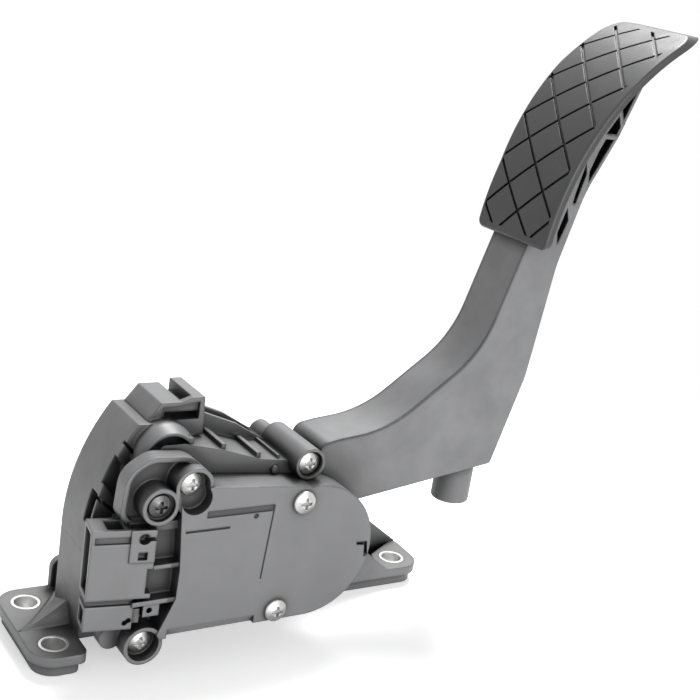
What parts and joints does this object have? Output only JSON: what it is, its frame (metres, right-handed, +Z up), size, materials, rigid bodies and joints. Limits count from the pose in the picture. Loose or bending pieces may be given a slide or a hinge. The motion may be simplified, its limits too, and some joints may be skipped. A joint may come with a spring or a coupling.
{
  "type": "accelerator pedal",
  "caption": "Moulded accelerator pedal with a ribbed arm, curved diamond tread pad, bolted housing and a position sensor cover with a plug socket.",
  "frame": {"origin": "on the mounting face, midway between the two left fixing holes", "axes": "+X from the left feet towards the pedal, +Y away from the viewer of the sensor cover, along the pivot, +Z up from the mounting face"},
  "size_m": [0.2316, 0.0577, 0.2248],
  "materials": {
    "housing_moulding": "fine moulded texture",
    "cover_moulding": "satin moulded",
    "arm_moulding": "fine moulded texture",
    "pad_moulding": "satin with a worn sheen",
    "buffer_rubber": "matt",
    "seal_rubber": "matt",
    "screw_steel": "zinc plated",
    "sleeve_steel": "zinc plated",
    "shaft_steel": "ground",
    "spring_steel": "oiled",
    "rotor_metal": "plain",
    "pin_metal": "plated",
    "board_laminate": "solder mask",
    "bush_polymer": "natural"
  },
  "bodies": {
    "housing": {"pedal_housing": "housing_moulding", "sensor_cover": "cover_moulding", "cover_seal": "seal_rubber", "circuit_board": "board_laminate", "connector_pins": "pin_metal", "fixing_sleeve_left_far": "sleeve_steel", "fixing_sleeve_left_near": "sleeve_steel", "fixing_sleeve_right": "sleeve_steel", "cover_screw_outer_left": "screw_steel", "cover_screw_upper_left": "screw_steel", "cover_screw_upper_right": "screw_steel", "cover_screw_lower_right": "screw_steel", "cover_screw_lower_left": "screw_steel", "housing_boss_screw": "screw_steel", "pivot_bush_near": "bush_polymer", "pivot_bush_far": "bush_polymer", "return_spring_outer": "spring_steel", "return_spring_inner": "spring_steel"},
    "pedal": {"pedal_arm": "arm_moulding", "pedal_pad": "pad_moulding", "travel_stop_stub": "arm_moulding", "idle_stop_buffer": "buffer_rubber", "pivot_shaft": "shaft_steel", "sensor_rotor": "rotor_metal", "friction_shoe": "bush_polymer"},
    "spring_seat": {"spring_seat": "bush_polymer"}
  },
  "joints": [
    {"name": "pedal_pivot", "type": "hinge", "parent": "housing", "child": "pedal", "pos_m": [0.082, -0.007, 0.0387], "axis": [0, 1, 0], "range_deg": [0, 17], "stiffness_Nm_per_rad": 6, "springref_deg": -34.38},
    {"name": "seat_slide", "type": "slide", "parent": "housing", "child": "spring_seat", "axis": [0, 0, 1], "range_m": [0, 0.011], "deforming": ["return_spring_outer", "return_spring_inner"]}
  ],
  "couplings": [
    {"joint": "seat_slide", "follows": "pedal_pivot", "m_per_rad": 0.03686}
  ]
}
